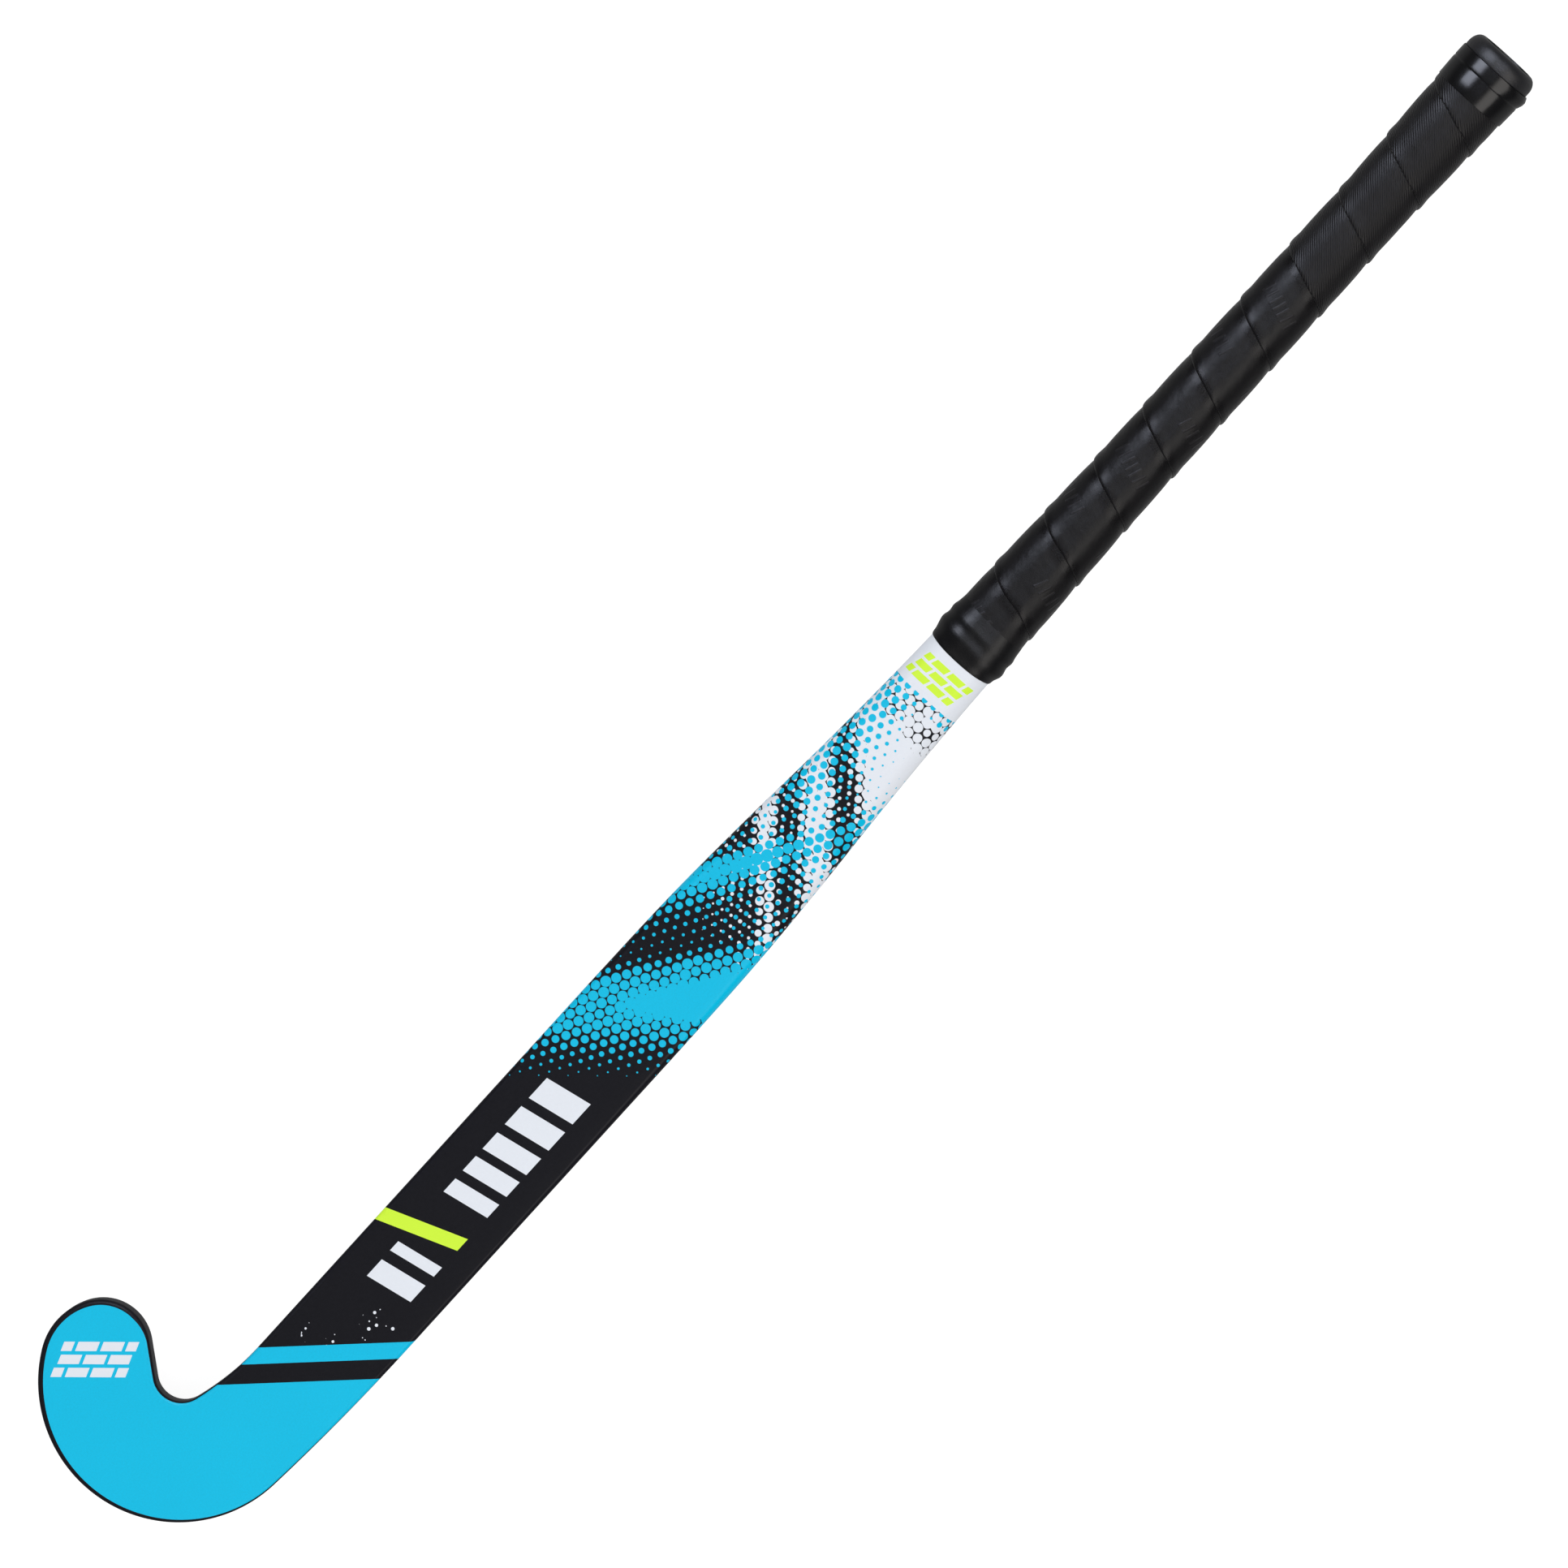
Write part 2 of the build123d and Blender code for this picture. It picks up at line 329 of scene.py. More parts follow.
def add_rings(name, rings, maps, material, closed=False, flip=False, sharp=SHARP_ABOVE):
    """A mesh from rings of points, joined in order.

    The last ring joins the first if closed, and otherwise both are filled. Each map has one
    (u, v) for each point of each ring, and may have one more for where the ring closes."""
    count = len(rings[0])
    loops = []
    for i in range(len(rings) if closed else len(rings) - 1):
        j = (i + 1) % len(rings)
        for k in range(count):
            across, onwards = (i, k + 1), (j, k)
            turned = (across, onwards) if flip else (onwards, across)
            loops.append([(i, k), turned[0], (j, k + 1), turned[1]])
    if not closed:
        first = [(0, k) for k in range(count)]
        last = [(len(rings) - 1, k) for k in reversed(range(count))]
        loops += [first[::-1], last[::-1]] if flip else [first, last]
    faces = [[i * count + k % count for i, k in loop] for loop in loops]
    corners = {}
    for key, rows in maps.items():
        corners[key] = [[rows[i][k % len(rows[i])] for i, k in loop] for loop in loops]
    points = [point for ring_points in rings for point in ring_points]
    return add_mesh(name, points, faces, corners, material, sharp)


def sleeve(name, loop, material, closed=True, slide=None, lump=None):
    """A skin round the stick whose profile is a list of (station, offset).

    The profile closes on itself, or otherwise its first and last rings are filled.
    slide moves points along the stick, and lump widens the section."""
    rings, flat = [], []
    for station, offset in loop:
        line, around = ring(station, offset)
        points = []
        for y, z, _ in line:
            moved = slide(station, y) if slide else 0.0
            wider = lump(station, y) if lump else 1.0
            points.append(on_stick(station + moved, y * wider, z))
        rings.append(points)
        flat.append([(station, gone - around / 2) for _, _, gone in line] + [(station, around / 2)])
    return add_rings(name, rings, {"flat": flat}, material, closed=closed)


# ---------------------------------------------------------------- the head's outline
def turn(start, angle, radius, sweep, steps):
    """Points along an arc that leaves start along angle, turning left for a positive sweep."""
    side = 90.0 if sweep > 0 else -90.0
    centre = (start[0] + radius * cosd(angle + side), start[1] + radius * sind(angle + side))
    points = []
    for i in range(1, steps + 1):
        a = angle - side + sweep * i / steps
        points.append((centre[0] + radius * cosd(a), centre[1] + radius * sind(a)))
    return points, angle + sweep


RIGHT_TURNS = ((HEEL_ARC, 24), (HOOK_ARC, 90), (TOE_OUTER_ARC, 22), (TOE_TIP_ARC, 36))
FLANK_STEPS = 6
CROOK_STEPS = 26
THROAT_STEPS = 36


def head_outline(inset):
    """The head's outline from the heel round the toe to the throat, moved inwards."""
    line = [(SHAFT_START, -BLADE_WIDTH / 2 + inset)]
    angle = 180.0
    for (radius, sweep), steps in RIGHT_TURNS:
        arc, angle = turn(line[-1], angle, radius - inset, -sweep, steps)
        line += arc
    here = line[-1]
    ahead = (here[0] + FLANK * cosd(angle), here[1] + FLANK * sind(angle))
    line += spaced(here, ahead, FLANK_STEPS) + [ahead]
    arc, angle = turn(line[-1], angle, CROOK_ARC[0] + inset, CROOK_ARC[1], CROOK_STEPS)
    line += arc
    arc, angle = turn(line[-1], angle, THROAT_RADIUS + inset, -angle, THROAT_STEPS)
    line += arc
    line.append((SHAFT_START, BLADE_WIDTH / 2 - inset))
    return line


# ---------------------------------------------------------------- node graphs
class Graph:
    """The node graph of one material, with short calls for what its pattern needs."""

    def __init__(self, name, **settings):
        self.material = bpy.data.materials.new(name)
        self.material.use_nodes = True
        self.tree = self.material.node_tree
        self.shader = self.tree.nodes["Principled BSDF"]
        for key, value in settings.items():
            self.shader.inputs[key.replace("_", " ")].default_value = value

    def node(self, kind, *inputs, **settings):
        made = self.tree.nodes.new("ShaderNode" + kind)
        for key, value in settings.items():
            setattr(made, key, value)
        for socket, value in zip(made.inputs, inputs):
            self.feed(value, socket)
        return made

    def feed(self, value, socket):
        if isinstance(value, Field):
            value = value.socket
        if isinstance(value, bpy.types.NodeSocket):
            self.tree.links.new(value, socket)
        elif value is not None:
            socket.default_value = value

    def math(self, operation, *values):
        made = self.node("Math", *values, operation=operation)
        return Field(self, made.outputs[0])

    def uv(self, key="flat"):
        """The two numbers of a map."""
        source = self.node("UVMap", uv_map=key)
        parts = self.node("SeparateXYZ", source.outputs[0])
        return Field(self, parts.outputs[0]), Field(self, parts.outputs[1])

    def place(self):
        """The point itself, in millimetres."""
        source = self.node("TexCoord")
        scaled = self.node("VectorMath", source.outputs["Object"], operation="SCALE")
        scaled.inputs["Scale"].default_value = 1000.0
        return scaled.outputs[0]

    def coordinates(self):
        """The point's three numbers."""
        parts = self.node("SeparateXYZ", self.place())
        return [Field(self, socket) for socket in parts.outputs]

    def noise(self, where, scale, detail=2.0, rough=0.5):
        made = self.node("TexNoise")
        self.feed(where, made.inputs["Vector"])
        made.inputs["Scale"].default_value = scale
        made.inputs["Detail"].default_value = detail
        made.inputs["Roughness"].default_value = rough
        return Field(self, made.outputs["Fac"])

    def join(self, x, y, z=0.0):
        return self.node("CombineXYZ", x, y, z).outputs[0]

    def mix(self, share, a, b):
        made = self.node("Mix", data_type="RGBA")
        for key, value in (("Factor", share), ("A", a), ("B", b)):
            sockets = [s for s in made.inputs if s.name == key and s.type in ("RGBA", "VALUE")]
            self.feed(value, sockets[0] if key == "Factor" else sockets[-1])
        return [s for s in made.outputs if s.type == "RGBA"][0]

    def paint(self, colour):
        self.feed(colour, self.shader.inputs["Base Color"])

    def roughen(self, value):
        self.feed(value, self.shader.inputs["Roughness"])

    def bump(self, height, depth, strength=1.0):
        made = self.node("Bump")
        made.inputs["Strength"].default_value = strength
        made.inputs["Distance"].default_value = depth
        self.feed(height, made.inputs["Height"])
        self.tree.links.new(made.outputs[0], self.shader.inputs["Normal"])


class Field:
    """A number that varies over a surface, for writing formulas."""

    def __init__(self, graph, socket):
        self.graph, self.socket = graph, socket

    def __add__(self, other):
        return self.graph.math("ADD", self, other)

    def __radd__(self, other):
        return self.graph.math("ADD", other, self)

    def __sub__(self, other):
        return self.graph.math("SUBTRACT", self, other)

    def __rsub__(self, other):
        return self.graph.math("SUBTRACT", other, self)

    def __mul__(self, other):
        return self.graph.math("MULTIPLY", self, other)

    def __rmul__(self, other):
        return self.graph.math("MULTIPLY", other, self)

    def __truediv__(self, other):
        return self.graph.math("DIVIDE", self, other)

    def __abs__(self):
        return self.graph.math("ABSOLUTE", self)

    def __round__(self):
        return self.graph.math("ROUND", self)


def graph_of(*values):
    return next(value.graph for value in values if isinstance(value, Field))


def smallest(a, b):
    return graph_of(a, b).math("MINIMUM", a, b)


def largest(a, b):
    return graph_of(a, b).math("MAXIMUM", a, b)


def root(a):
    return a.graph.math("SQRT", a)


def above(value, edge, soft):
    """0 below the edge, 1 above it, with a soft step of that width."""
    return clip((value - edge) / soft + 0.5)


def below(value, edge, soft):
    return clip((edge - value) / soft + 0.5)


def clip(value):
    return smallest(largest(value, 0.0), 1.0)


# ---------------------------------------------------------------- colours
def colour(red, green, blue):
    """A linear colour from screen values of 0 to 255."""
    return tuple(linear(v / 255) for v in (red, green, blue)) + (1.0,)


def linear(v):
    return v / 12.92 if v <= 0.04045 else ((v + 0.055) / 1.055) ** 2.4


BLACK = colour(21, 21, 27)
CYAN = colour(0, 190, 230)
WHITE = colour(228, 233, 241)
LIME = colour(209, 248, 62)
GRIP_BLACK = colour(12, 11, 13)
TAPE_BLACK = colour(12, 12, 14)
CAP_BLACK = colour(26, 26, 29)
WOOD_DARK, WOOD_PALE = colour(150, 108, 66), colour(214, 180, 132)
RESIN, STRANDS = colour(16, 17, 20), colour(52, 54, 58)
ADHESIVE_DARK, ADHESIVE_PALE = colour(198, 196, 182), colour(232, 230, 220)
# how wide the soft edge of printed ink is
INK_EDGE = 0.09


# ---------------------------------------------------------------- printed patterns
# In these, s is the station and y the distance round the section from the middle of the
# face, both in millimetres.
# station at which the halftone meets the white band
HALFTONE_END = 468.7
# distance round the section at which the face's rounded edge ends
FACE_REACH = 23.7


def bar(along, across, middle, width, low, high):
    """1 inside a bar of that width whose ends are at low and high."""
    inside = below(abs(along - middle), width / 2, INK_EDGE)
    return inside * above(across, low, INK_EDGE) * below(across, high, INK_EDGE)


def repeated(value, pitch):
    """Distance to the nearest multiple of the pitch."""
    return value.graph.math("PINGPONG", value, pitch / 2)


def band(s, y, shape, peak):
    """Dot size that falls off on both sides of a slanted line."""
    station, lean, headwards, buttwards = shape
    away = s - (y * lean + station)
    return (1.0 - largest(away * (1.0 / buttwards), away * (-1.0 / headwards))) * peak


# distance round the section from which dots shrink towards the back, and how fast
FADE_FROM = 27.0
FADE = 0.06
# a dot smaller than this share of the pitch isn't printed
SMALLEST_DOT = 0.04
# lattices of dots: pitch, turn in degrees, and one point
WHITE_LATTICE = (4.35, -20.9, (400.0, 0.0))
BLUE_LATTICE = (4.5, -28.8, (277.0, 11.0))


def dots(s, y, lattice, size_at):
    """Coverage by a hexagonal lattice of dots whose size varies from place to place."""
    pitch, angle, (s0, y0) = lattice
    c, n = cosd(angle), sind(angle)
    row = pitch * math.sqrt(3.0)
    a = (s - s0) * c + (y - y0) * n
    b = (y - y0) * c - (s - s0) * n
    covered = 0.0
    for shift in (0.0, 0.5):
        ca = (round(a * (1.0 / pitch) - shift) + shift) * pitch
        cb = (round(b * (1.0 / row) - shift) + shift) * row
        dot_s, dot_y = ca * c - cb * n + s0, ca * n + cb * c + y0
        size = size_at(dot_s, dot_y) - largest(abs(dot_y) - FADE_FROM, 0.0) * FADE
        away = root((a - ca) * (a - ca) + (b - cb) * (b - cb))
        dot = below(away, size * pitch, 2 * INK_EDGE) * above(size, SMALLEST_DOT, 0.02)
        covered = largest(dot, covered)
    return covered


def uneven(s, y, share):
    """A factor around 1 for dot sizes, different from place to place."""
    graph = graph_of(s, y)
    return (graph.noise(graph.join(s, y), 0.31, detail=1.0) - 0.5) * share + 1.0


# slanted bands of dots: station at the middle of the face, lean, and how far the dots reach
# towards the head and towards the butt
BLUE_CORE = (301.5, -1.08, 22.0, 21.0)
BLUE_SECOND = (385.5, -1.6, 44.0, 22.0)
BLUE_HAZE = (378.0, -1.0, 60.0, 50.0)
WHITE_FIRST = (373.0, 1.1, 13.0, 14.0)
WHITE_SECOND = (404.5, 1.1, 19.0, 17.0)
WHITE_SPECKS = (354.0, 0.8, 24.0, 60.0)
# stations of the other parts of the halftone, where they cross the middle of the face
FRINGE = (258.0, 336.5)
TOE_SIDE_HAZE_FROM = 385.0
FIELD_FROM = 421.0
CORNER_FROM = 447.0
# width of the row of small dots beside the white band
RIM_WIDTH = 4.2


def blue_size(s, y):
    """Blue dots: two swooshes with a fringe, and a haze that fades towards the heel side."""
    fringe = smallest((s + y * 0.9 - FRINGE[0]) * 0.016, (FRINGE[1] - s - y * 1.35) * 0.032)
    core = band(s, y, BLUE_CORE, clip(0.54 - y * 0.0195) * 1.34)
    second = band(s, y, BLUE_SECOND, clip(y * 0.09 + 0.36) * 0.14 + 0.47)
    haze = smallest(band(s, y, BLUE_HAZE, 0.4), 0.2)
    toe_side = smallest(y * 0.016 + 0.2, 0.36) * clip((s - TOE_SIDE_HAZE_FROM) * 0.05)
    corner = clip((s - CORNER_FROM) * 0.08) * clip((2.0 - y) * 0.12) * 0.25
    rim = above(s, HALFTONE_END - RIM_WIDTH, 0.2) * 0.27
    swooshes = largest(largest(smallest(fringe, 0.46), core), second)
    return largest(largest(swooshes, largest(haze, toe_side - corner)), rim) * uneven(s, y, 0.5)


def white_size(s, y):
    """White dots: two streaks, a solid field and an open mesh at its lower corner."""
    first = band(s, y, WHITE_FIRST, 0.58 + y * 0.006)
    second = band(s, y, WHITE_SECOND, 0.74)
    specks = band(s, y, WHITE_SPECKS, 0.17)
    field = smallest((s - y * 0.95 - FIELD_FROM) * 0.035 + 0.12, 0.7)
    mesh = clip((s - CORNER_FROM - y * 0.1) * 0.12) * 0.23
    return largest(largest(first, second), largest(specks, field - mesh)) * uneven(s, y, 1.0)


# loose specks of white paint on the black: middle along and across, and reach
SPATTER = ((111.5, 6.5, 8.5), (130.0, -8.5, 8.5))
SPATTER_SCALE = 0.3
# share of the places that stay empty, and how much larger the others grow
SPATTER_EMPTY = 0.52
SPATTER_GROWTH = 0.46


def spatter(s, y):
    """Coverage by round specks of different sizes, in a few small patches."""
    graph = graph_of(s, y)
    spots = graph.node("TexVoronoi", voronoi_dimensions="2D")
    graph.feed(graph.join(s, y), spots.inputs["Vector"])
    spots.inputs["Scale"].default_value = SPATTER_SCALE
    chance = Field(graph, graph.node("SeparateColor", spots.outputs["Color"]).outputs[0])
    size = (chance - SPATTER_EMPTY) * SPATTER_GROWTH
    covered = below(Field(graph, spots.outputs["Distance"]), size, 0.04) * above(size, 0.0, 0.01)
    reached = 0.0
    for along, across, reach in SPATTER:
        away = root((s - along) * (s - along) + (y - across) * (y - across))
        reached = largest(below(away, reach, 0.1), reached)
    return covered * reached


# the face's blue: lean of its lines, end of the head's, edges of the stripe, start of the toe's
STRIPE_LEAN = 0.99
HEAD_BLUE_END = 92.3
STRIPE = (103.4, 112.8)
TOE_BLUE_FROM = 29.0


def slanted_stripe(s, y):
    """The narrow blue stripe beyond the head's blue."""
    lean = s + y * STRIPE_LEAN
    return above(lean, STRIPE[0], INK_EDGE) * below(lean, STRIPE[1], INK_EDGE)


def stripes_of_head(s, y):
    """Blue head with a slanted end, then one slanted stripe; the toe is blue throughout."""
    blue = below(s + y * STRIPE_LEAN, HEAD_BLUE_END, INK_EDGE) + slanted_stripe(s, y)
    return clip(blue + above(y, TOE_BLUE_FROM, INK_EDGE))


def grain(graph, s, y):
    """Fine mottled grain of the blue ink, around 1, and a slight drift in its tone."""
    where = graph.join(s, y)
    mottle = graph.noise(where, 1.3, detail=3.0, rough=0.7)
    return 0.87 + mottle * 0.22 + graph.noise(where, 0.03) * 0.04


def dim(graph, ink, share):
    """A colour times a field."""
    made = graph.node("VectorMath", ink, operation="SCALE")
    graph.feed(share, made.inputs["Scale"])
    return made.outputs[0]


def blue_ink(graph, s, y):
    return dim(graph, CYAN[:3], grain(graph, s, y))


def black_ink(graph, s, y):
    return dim(graph, BLACK[:3], graph.noise(graph.join(s, y), 0.9, detail=3.0) * 0.5 + 0.75)


PEEL_DEPTH = 0.00002


def lacquer(graph, s, y, rough=0.3):
    """Gloss that varies a little, over a faint orange peel."""
    where = graph.join(s, y)
    graph.roughen(graph.noise(where, 0.5) * 0.1 + rough)
    graph.bump(graph.noise(where, 0.7, detail=3.0), PEEL_DEPTH)


def film(name):
    """Printed film under a satin lacquer."""
    return Graph(name, Specular_IOR_Level=0.15, Coat_Weight=0.03, Coat_Roughness=0.12)


# plain mark: rows of equal slanted blocks, laid like bricks
BLOCK_LENGTH = 10.2
BLOCK_HEIGHT = 5.3
BLOCK_GAP = 1.5
BLOCK_LEAN = 0.4
MARK_LENGTH = 30.6
TOE_MARK_AT = (42.0, 68.2)
TOE_MARK_TURN = 47.77


def brick_mark(a, b):
    """Three rows of blocks, across a and b from the mark's middle."""
    lean = a - b * BLOCK_LEAN
    covered = 0.0
    for row in (-1, 0, 1):
        apart = repeated(lean + BLOCK_LENGTH / 2 * (1 - abs(row)), BLOCK_LENGTH)
        inside = below(abs(b - row * BLOCK_HEIGHT), (BLOCK_HEIGHT - BLOCK_GAP) / 2, INK_EDGE)
        covered = largest(inside * above(apart, BLOCK_GAP / 2, INK_EDGE), covered)
    return covered * below(abs(lean), MARK_LENGTH / 2, INK_EDGE)


def toe_mark(s, y):
    """The mark on the toe, turned so that its rows lie level while the stick is aslant."""
    c, n = cosd(TOE_MARK_TURN), sind(TOE_MARK_TURN)
    along, across = s - TOE_MARK_AT[0], y - TOE_MARK_AT[1]
    return brick_mark(along * c - across * n, along * n + across * c)


def head_material():
    """Blue head and stripe on black, with the specks and the toe's mark."""
    graph = film("face_print")
    s, y = graph.uv()
    inside, _ = graph.uv("edge")
    ink = graph.mix(spatter(s, y), black_ink(graph, s, y), WHITE)
    printed = above(inside, 0.0, INK_EDGE) * stripes_of_head(s, y)
    ink = graph.mix(printed, ink, blue_ink(graph, s, y))
    ink = graph.mix(toe_mark(s, y), ink, WHITE)
    graph.paint(ink)
    lacquer(graph, s, y)
    return graph.material


def shell_material():
    """Black lacquer, with the printed area reaching over the heel-side edge."""
    graph = film("glass_laminate")
    s, y = graph.uv()
    inside, _ = graph.uv("edge")
    printed = above(inside, 0.0, INK_EDGE) * stripes_of_head(s, y)
    graph.paint(graph.mix(printed, black_ink(graph, s, y), blue_ink(graph, s, y)))
    lacquer(graph, s, y, 0.4)
    return graph.material


# plain white bars on the shaft: middle and width along the stick
SHAFT_BARS = (
    (148.5, 9.0),
    (160.5, 5.0),
    (194.0, 7.2),
    (206.0, 8.0),
    (218.5, 9.0),
    (232.5, 10.0),
    (247.5, 11.0),
)
BAR_LEAN = 0.2
BAR_LOW, BAR_HIGH = -10.8, 9.5
LIME_BAR = (173.4, 6.4)
LIME_LEAN = 0.39


def shaft_bars(s, y):
    """Slanted white bars, and the steeper lime one between them."""
    lean = s + y * BAR_LEAN
    white = 0.0
    for middle, width in SHAFT_BARS:
        white = largest(bar(lean, y, middle, width, BAR_LOW, BAR_HIGH), white)
    lime = bar(s + y * LIME_LEAN, y, *LIME_BAR, BAR_LOW, FACE_REACH)
    return white, lime


BAND_MARK_AT = (478.2, 1.0)
BAND_MARK_SCALE = 1.25


def band_mark(s, y):
    """The toe's mark again, smaller and turned, on the white band."""
    across = (BAND_MARK_AT[1] - y) * BAND_MARK_SCALE
    return brick_mark(across, (s - BAND_MARK_AT[0]) * BAND_MARK_SCALE)


def shaft_material():
    """Bars and halftone on black, up to a white band; each ink covers the ones before."""
    graph = film("shaft_print")
    s, y = graph.uv()
    end = above(s, HALFTONE_END, INK_EDGE)
    bars, lime_bar = shaft_bars(s, y)
    white_dots = dots(s, y, WHITE_LATTICE, white_size)
    whites = largest(largest(bars, spatter(s, y)), largest(white_dots, end))
    white = dim(graph, WHITE[:3], graph.noise(graph.join(s, y), 0.8, detail=3.0) * 0.05 + 0.975)
    ink = graph.mix(whites, black_ink(graph, s, y), white)
    blue_dots = dots(s, y, BLUE_LATTICE, blue_size) * (1.0 - end)
    face_stripe = slanted_stripe(s, y) * below(abs(y), FACE_REACH, INK_EDGE)
    ink = graph.mix(largest(blue_dots, face_stripe), ink, blue_ink(graph, s, y))
    graph.paint(graph.mix(largest(lime_bar, band_mark(s, y)), ink, LIME))
    lacquer(graph, s, y)
    return graph.material


# the wave of the oblique ridges, which makes them 1 mm apart, and the turn where they start
RIDGE_PITCH = 0.87
RIDGE_ACROSS, RIDGE_ALONG = 0.672, 0.494
RIDGES_FROM = 6.1
# the embossed groups of short strokes, in a row along the middle of the strip
EMBOSS_PITCH = 34.0
EMBOSS_LEAN = 0.3
EMBOSS_MIDDLE = 15.0
STROKE_PITCH = 2.6
STROKE_WIDTH = 0.7
STROKE_LENGTH = 6.4
# the strip's stretched, smoother margins: where the first ends and the second begins
MARGINS = (3.6, 25.0)
GRIP_RELIEF = 0.00024


def grip_material():
    """Soft polyurethane: fine grain, oblique ridges near the butt with a painted highlight on their crests, short
    strokes below.
    """
    graph = Graph("grip_pu", Specular_IOR_Level=0.27, Sheen_Weight=0.1, Sheen_Roughness=0.4)
    travel, across = graph.uv()
    turns = travel * (1.0 / GRIP_TRAVEL)
    where = graph.join(travel, across)
    ridged = above(turns, RIDGES_FROM, 0.05)
    phase = (across * RIDGE_ACROSS - travel * RIDGE_ALONG) * (2 * math.pi / RIDGE_PITCH)
    wave = graph.math("SINE", phase)
    group = repeated(travel + across * EMBOSS_LEAN, EMBOSS_PITCH)
    strokes = below(repeated(group, STROKE_PITCH), STROKE_WIDTH / 2, 0.3)
    strokes = strokes * below(group, EMBOSS_PITCH / 4, 0.2)
    embossed = strokes * below(abs(across - EMBOSS_MIDDLE), STROKE_LENGTH / 2, 0.3) * (1.0 - ridged)
    pores = graph.noise(where, 2.4, detail=4.0, rough=0.65)
    folds = graph.noise(where, 0.14, detail=2.0)
    height = pores * 0.3 + folds * 1.5 + wave * ridged * 0.2 + embossed * 0.35
    graph.bump(height, GRIP_RELIEF)
    margins = largest(below(across, MARGINS[0], 3.0), above(across, MARGINS[1], 3.0))
    patches = graph.noise(where, 0.3, detail=3.0)
    graph.roughen(patches * 0.1 + 0.35 + ridged * 0.03 - margins * 0.13)
    # the ridges' wave also lightens the colour on their crests and darkens it in their grooves: a painted highlight
    # and painted shade on the ridges
    shade = pores * 0.5 + 0.75 + (wave + 1.0) * ridged * 0.2 + embossed * 1.6
    graph.paint(dim(graph, GRIP_BLACK[:3], shade))
    return graph.material


def rubber(name, tint, rough, specular, depth):
    """Black rubbery surface with a fine grain and a few soft smears."""
    graph = Graph(name, Specular_IOR_Level=specular)
    where = graph.place()
    fine = graph.noise(where, 2.2, detail=4.0, rough=0.6)
    smear = graph.noise(where, 0.12, detail=3.0)
    graph.paint(dim(graph, tint[:3], fine * 0.5 + 0.75))
    graph.roughen(smear * 0.14 + rough - 0.07)
    graph.bump(fine + smear * 1.5, depth)
    return graph.material


def wood_material():
    """Mulberry: pale brown, with grain lines drawn out along the stick."""
    graph = Graph("mulberry", Roughness=0.55)
    x, y, z = graph.coordinates()
    drawn = graph.join(x * 0.03, y, z)
    lines = graph.noise(drawn, 0.9, detail=5.0, rough=0.6)
    flecks = graph.noise(graph.join(x * 0.2, y * 3.0, z * 3.0), 0.8, detail=2.0)
    pale = clip(lines * 1.6 - 0.4 + flecks * 0.2)
    graph.paint(graph.mix(pale, WOOD_DARK, WOOD_PALE))
    graph.bump(lines, 0.00005)
    return graph.material


# radians of the strands' wave in a millimetre
WEAVE = 3.1


def glass_material():
    """Dark resin with crossing strands of glass."""
    graph = Graph("glass_weave", Roughness=0.3, Specular_IOR_Level=0.5)
    x, y, z = graph.coordinates()
    crossing = ((x + y + z) * WEAVE, (x - y - z) * WEAVE)
    weave = largest(*(graph.math("SINE", phase) for phase in crossing))
    graph.paint(graph.mix(clip(weave) * 0.5, RESIN, STRANDS))
    graph.bump(weave, 0.00003)
    return graph.material


def adhesive_material():
    """Pale double-sided strip with fibres in it."""
    graph = Graph("adhesive", Roughness=0.6)
    fibres = graph.noise(graph.place(), 1.5, detail=5.0, rough=0.7)
    graph.paint(graph.mix(fibres, ADHESIVE_DARK, ADHESIVE_PALE))
    graph.bump(fibres, 0.00004)
    return graph.material


# ---------------------------------------------------------------- the pieces
FILM_BACK = -0.12
FACE_LEVEL = -0.06
PRINT_END = 505.0
PRINT_RINGS = 120
SIDE_STEPS = 8
# width of the flat strip beside a rounded edge, which keeps its shading even
PROFILE_LIP = 0.35


def head_profile(back):
    """Profile of the head's skin: (inset, depth) from its face round to its back.

    back is the radius of its back edge."""
    face = FACE_EDGE_RADIUS
    line = [(face + PROFILE_LIP, FACE_LEVEL), (face, FACE_LEVEL)]
    for i in range(1, SIDE_STEPS + 1):
        angle = 90.0 * i / SIDE_STEPS
        line.append((face - face * sind(angle), FACE_LEVEL - face * (1 - cosd(angle))))
    for i in range(2 * SIDE_STEPS + 1):
        angle = 90.0 * i / (2 * SIDE_STEPS)
        line.append((back - back * cosd(angle), -HEAD_THICKNESS + back - back * sind(angle)))
    line.append((back + PROFILE_LIP, -HEAD_THICKNESS))
    return line


# the outline's points counted round it: width of the black border left by the print
FACE_BORDER = (
    (0, 0.0),
    (24, 0.5),
    (60, 1.6),
    (100, 2.3),
    (136, 2.3),
    (160, 1.9),
    (172, 1.0),
    (204, 0.6),
    (240, 0.1),
    (241, 0.0),
)
# and how much rounder the back edge is round the toe
BACK_ROUNDING = ((60, 0.0), (114, 0.9), (136, 1.4), (172, 1.4), (204, 0.9), (225, 0.0))


NEARLY = 0.01


def inside_print(inset, depth, k):
    """How far inside the printed area a place is, by the outline's point k."""
    on_back = depth < FACE_LEVEL - FACE_EDGE_RADIUS - NEARLY
    return -1.0 if on_back else inset - along(FACE_BORDER, k)


